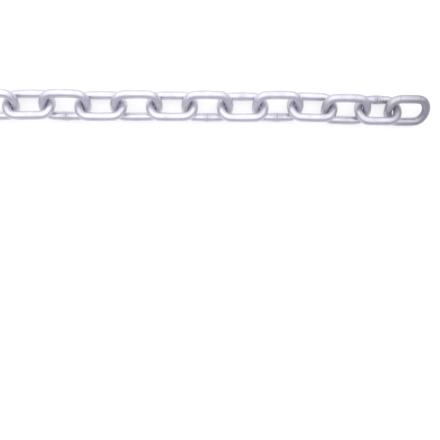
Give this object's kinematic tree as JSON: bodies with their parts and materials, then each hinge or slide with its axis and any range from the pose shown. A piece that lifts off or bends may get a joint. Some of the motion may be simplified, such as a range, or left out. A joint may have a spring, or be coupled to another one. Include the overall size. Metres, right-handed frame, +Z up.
{
  "type": "welded link chain",
  "caption": "Straight length of welded round-link steel chain, with interlocked oval links that swing on each other.",
  "frame": {"origin": "middle of the length and width of the chain, on the floor that it lies on", "axes": "+X along the chain to its free end, +Y to the left, +Z up from the floor"},
  "size_m": [1.0036, 0.0332, 0.0213],
  "materials": {
    "galvanised_steel": "satin galvanised zinc"
  },
  "bodies": {
    "link_01": {"link_01": "galvanised_steel"},
    "link_02": {"link_02": "galvanised_steel"},
    "link_03": {"link_03": "galvanised_steel"},
    "link_04": {"link_04": "galvanised_steel"},
    "link_05": {"link_05": "galvanised_steel"},
    "link_06": {"link_06": "galvanised_steel"},
    "link_07": {"link_07": "galvanised_steel"},
    "link_08": {"link_08": "galvanised_steel"},
    "link_09": {"link_09": "galvanised_steel"},
    "link_10": {"link_10": "galvanised_steel"},
    "link_11": {"link_11": "galvanised_steel"},
    "link_12": {"link_12": "galvanised_steel"},
    "link_13": {"link_13": "galvanised_steel"},
    "link_14": {"link_14": "galvanised_steel"},
    "link_15": {"link_15": "galvanised_steel"},
    "link_16": {"link_16": "galvanised_steel"},
    "link_17": {"link_17": "galvanised_steel"},
    "link_18": {"link_18": "galvanised_steel"},
    "link_19": {"link_19": "galvanised_steel"},
    "link_20": {"link_20": "galvanised_steel"},
    "link_21": {"link_21": "galvanised_steel"},
    "link_22": {"link_22": "galvanised_steel"},
    "link_23": {"link_23": "galvanised_steel"},
    "link_24": {"link_24": "galvanised_steel"},
    "link_25": {"link_25": "galvanised_steel"},
    "link_26": {"link_26": "galvanised_steel"},
    "link_27": {"link_27": "galvanised_steel"},
    "link_28": {"link_28": "galvanised_steel"},
    "link_29": {"link_29": "galvanised_steel"},
    "link_30": {"link_30": "galvanised_steel"},
    "link_31": {"link_31": "galvanised_steel"}
  },
  "joints": [
    {"name": "link_02_swing", "type": "hinge", "parent": "link_01", "child": "link_02", "pos_m": [-0.45702, 0.0025, 0.01063], "axis": [-0.0043, 0.7071, 0.7071], "range_deg": [-90, 90]},
    {"name": "link_03_swing", "type": "hinge", "parent": "link_02", "child": "link_03", "pos_m": [-0.42483, 0.00289, 0.01063], "axis": [0, 0.7071, -0.7071], "range_deg": [-90, 90]},
    {"name": "link_04_swing", "type": "hinge", "parent": "link_03", "child": "link_04", "pos_m": [-0.39263, 0.0025, 0.01063], "axis": [-0.0042, -0.7071, -0.7071], "range_deg": [-90, 90]},
    {"name": "link_05_swing", "type": "hinge", "parent": "link_04", "child": "link_05", "pos_m": [-0.36043, 0.0025, 0.01063], "axis": [0.0043, -0.7071, 0.7071], "range_deg": [-90, 90]},
    {"name": "link_06_swing", "type": "hinge", "parent": "link_05", "child": "link_06", "pos_m": [-0.32823, 0.00289, 0.01063], "axis": [0.0001, 0.7071, 0.7071], "range_deg": [-90, 90]},
    {"name": "link_07_swing", "type": "hinge", "parent": "link_06", "child": "link_07", "pos_m": [-0.29603, 0.00249, 0.01063], "axis": [0.0042, 0.7071, -0.7071], "range_deg": [-90, 90]},
    {"name": "link_08_swing", "type": "hinge", "parent": "link_07", "child": "link_08", "pos_m": [-0.26383, 0.00251, 0.01063], "axis": [0.0043, -0.7071, -0.7071], "range_deg": [-90, 90]},
    {"name": "link_09_swing", "type": "hinge", "parent": "link_08", "child": "link_09", "pos_m": [-0.23163, 0.00289, 0.01063], "axis": [-0.0002, -0.7071, 0.7071], "range_deg": [-90, 90]},
    {"name": "link_10_swing", "type": "hinge", "parent": "link_09", "child": "link_10", "pos_m": [-0.19944, 0.00249, 0.01063], "axis": [0.0041, 0.7071, 0.7071], "range_deg": [-90, 90]},
    {"name": "link_11_swing", "type": "hinge", "parent": "link_10", "child": "link_11", "pos_m": [-0.16724, 0.00251, 0.01063], "axis": [-0.0044, 0.7071, -0.7071], "range_deg": [-90, 90]},
    {"name": "link_12_swing", "type": "hinge", "parent": "link_11", "child": "link_12", "pos_m": [-0.13504, 0.00289, 0.01063], "axis": [-0.0003, -0.7071, -0.7071], "range_deg": [-90, 90]},
    {"name": "link_13_swing", "type": "hinge", "parent": "link_12", "child": "link_13", "pos_m": [-0.10284, 0.00248, 0.01063], "axis": [-0.0041, -0.7071, 0.7071], "range_deg": [-90, 90]},
    {"name": "link_14_swing", "type": "hinge", "parent": "link_13", "child": "link_14", "pos_m": [-0.07064, 0.00251, 0.01063], "axis": [-0.0044, 0.7071, 0.7071], "range_deg": [-90, 90]},
    {"name": "link_15_swing", "type": "hinge", "parent": "link_14", "child": "link_15", "pos_m": [-0.03844, 0.00289, 0.01063], "axis": [0.0004, 0.7071, -0.7071], "range_deg": [-90, 90]},
    {"name": "link_16_swing", "type": "hinge", "parent": "link_15", "child": "link_16", "pos_m": [-0.00625, 0.00248, 0.01063], "axis": [-0.004, -0.7071, -0.7071], "range_deg": [-90, 90]},
    {"name": "link_17_swing", "type": "hinge", "parent": "link_16", "child": "link_17", "pos_m": [0.02595, 0.00252, 0.01063], "axis": [0.0045, -0.7071, 0.7071], "range_deg": [-90, 90]},
    {"name": "link_18_swing", "type": "hinge", "parent": "link_17", "child": "link_18", "pos_m": [0.05815, 0.00289, 0.01063], "axis": [0.0005, 0.7071, 0.7071], "range_deg": [-90, 90]},
    {"name": "link_19_swing", "type": "hinge", "parent": "link_18", "child": "link_19", "pos_m": [0.09035, 0.00248, 0.01063], "axis": [0.0045, 0.7071, -0.7071], "range_deg": [-90, 90]},
    {"name": "link_20_swing", "type": "hinge", "parent": "link_19", "child": "link_20", "pos_m": [0.12255, 0.00248, 0.01063], "axis": [0.0025, -0.7071, -0.7071], "range_deg": [-90, 90]},
    {"name": "link_21_swing", "type": "hinge", "parent": "link_20", "child": "link_21", "pos_m": [0.15475, 0.0025, 0.01063], "axis": [-0.0031, -0.7071, 0.7071], "range_deg": [-90, 90]},
    {"name": "link_22_swing", "type": "hinge", "parent": "link_21", "child": "link_22", "pos_m": [0.18755, 0.00194, 0.01109], "axis": [0.0056, 0.7071, 0.7071], "range_deg": [-90, 90]},
    {"name": "link_23_swing", "type": "hinge", "parent": "link_22", "child": "link_23", "pos_m": [0.21914, 0.0016, 0.01063], "axis": [0, 0.7071, -0.7071], "range_deg": [-90, 90]},
    {"name": "link_24_swing", "type": "hinge", "parent": "link_23", "child": "link_24", "pos_m": [0.25134, 0.0012, 0.01063], "axis": [0, -0.7071, -0.7071], "range_deg": [-90, 90]},
    {"name": "link_25_swing", "type": "hinge", "parent": "link_24", "child": "link_25", "pos_m": [0.28354, 0.0012, 0.01063], "axis": [0, -0.7071, 0.7071], "range_deg": [-90, 90]},
    {"name": "link_26_swing", "type": "hinge", "parent": "link_25", "child": "link_26", "pos_m": [0.31664, 0.00138, 0.01132], "axis": [0, 0.7071, 0.7071], "range_deg": [-90, 90]},
    {"name": "link_27_swing", "type": "hinge", "parent": "link_26", "child": "link_27", "pos_m": [0.34884, 0.00021, 0.01132], "axis": [0, 0.7071, -0.7071], "range_deg": [-90, 90]},
    {"name": "link_28_swing", "type": "hinge", "parent": "link_27", "child": "link_28", "pos_m": [0.38104, 0.00168, 0.01132], "axis": [-0.0086, -0.7071, -0.7071], "range_deg": [-90, 90]},
    {"name": "link_29_swing", "type": "hinge", "parent": "link_28", "child": "link_29", "pos_m": [0.41246, -0.00031, 0.00994], "axis": [-0.016, -0.7069, 0.7071], "range_deg": [-90, 90]},
    {"name": "link_30_swing", "type": "hinge", "parent": "link_29", "child": "link_30", "pos_m": [0.44314, -0.00211, 0.01086], "axis": [0.0099, 0.707, 0.7071], "range_deg": [-90, 90]},
    {"name": "link_31_swing", "type": "hinge", "parent": "link_30", "child": "link_31", "pos_m": [0.47103, -0.00262, 0.01029], "axis": [0.0025, 0.7071, -0.7071], "range_deg": [-90, 90]}
  ]
}
